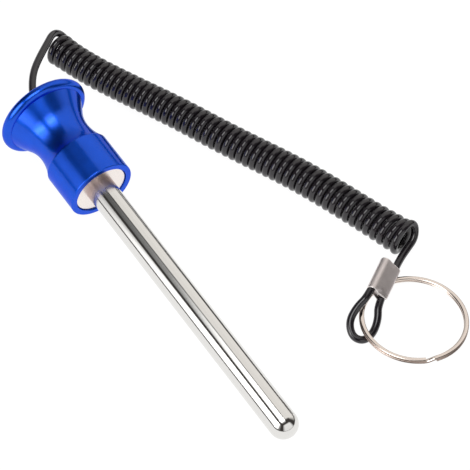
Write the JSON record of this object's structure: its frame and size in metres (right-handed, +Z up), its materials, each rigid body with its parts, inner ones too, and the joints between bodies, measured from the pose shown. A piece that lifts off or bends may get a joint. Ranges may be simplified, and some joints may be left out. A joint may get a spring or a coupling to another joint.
{
  "type": "weight stack pin",
  "caption": "Magnetic selector pin for a weight stack, with a flared metal knob, a curly lanyard cord, a crimp sleeve and a split ring.",
  "frame": {"origin": "on the table, under the middle of the knob and pin", "axes": "+X from the knob's head to the pin's tip, seen from above, +Z up from the table"},
  "size_m": [0.1758, 0.0919, 0.0309],
  "materials": {
    "anodised_blue": "gloss",
    "bright_steel": "polished",
    "magnet_nickel": "plated",
    "stop_brass": "turned",
    "cord_black": "gloss",
    "sleeve_metal": "satin",
    "ring_nickel": "plated"
  },
  "bodies": {
    "lanyard_pin": {"knob": "anodised_blue", "pin": "bright_steel", "magnet_ring": "magnet_nickel", "cord_stop": "stop_brass", "cord_lead": "cord_black", "cord_coil": "cord_black", "cord_tail": "cord_black", "crimp_sleeve": "sleeve_metal"},
    "ring": {"split_ring": "ring_nickel"}
  },
  "joints": [
    {"name": "ring_turn", "type": "hinge", "parent": "lanyard_pin", "child": "ring", "pos_m": [0.0577, 0.0563, 0.00255], "axis": [-0.0408, 0.0886, 0.9952], "continuous": true}
  ]
}
